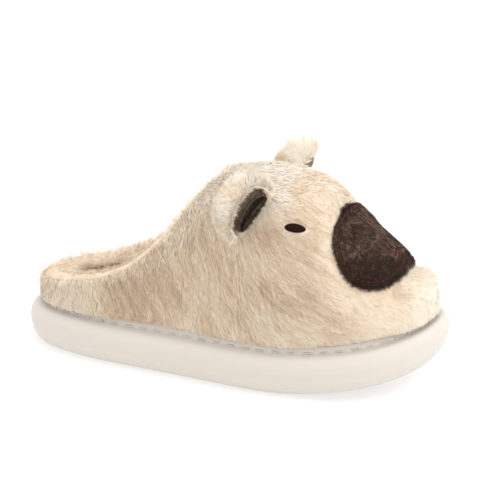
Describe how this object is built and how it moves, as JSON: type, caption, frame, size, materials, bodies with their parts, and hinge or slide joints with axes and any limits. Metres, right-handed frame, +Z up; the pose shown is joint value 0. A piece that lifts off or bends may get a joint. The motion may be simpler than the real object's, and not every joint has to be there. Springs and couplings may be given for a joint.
{
  "type": "animal slipper",
  "caption": "plush animal slipper for the right foot with round ears, a dark nose patch and a thick cream foam sole with a stitched lip",
  "frame": {"origin": "middle of the bounding box in X and Y, at the floor under the sole", "axes": "+X to the toe, +Y to the wearer's left, which is the inner side of this right slipper, +Z up"},
  "size_m": [0.27, 0.1162, 0.1318],
  "materials": {
    "sole_foam": "smooth moulded foam, satin",
    "fur_plush": "short soft fur fabric",
    "lining_plush": "short plush",
    "ear_fur": "pale fur fabric",
    "nose_plush": "dark short plush",
    "eye_thread": "satin stitch thread"
  },
  "bodies": {
    "root": {"sole": "sole_foam", "insole": "lining_plush", "upper": "fur_plush", "nose": "nose_plush", "ear_left_hood": "ear_fur", "ear_left_lining": "nose_plush", "ear_right_hood": "ear_fur", "ear_right_lining": "nose_plush", "eye_left": "eye_thread", "eye_right": "eye_thread"}
  },
  "joints": []
}
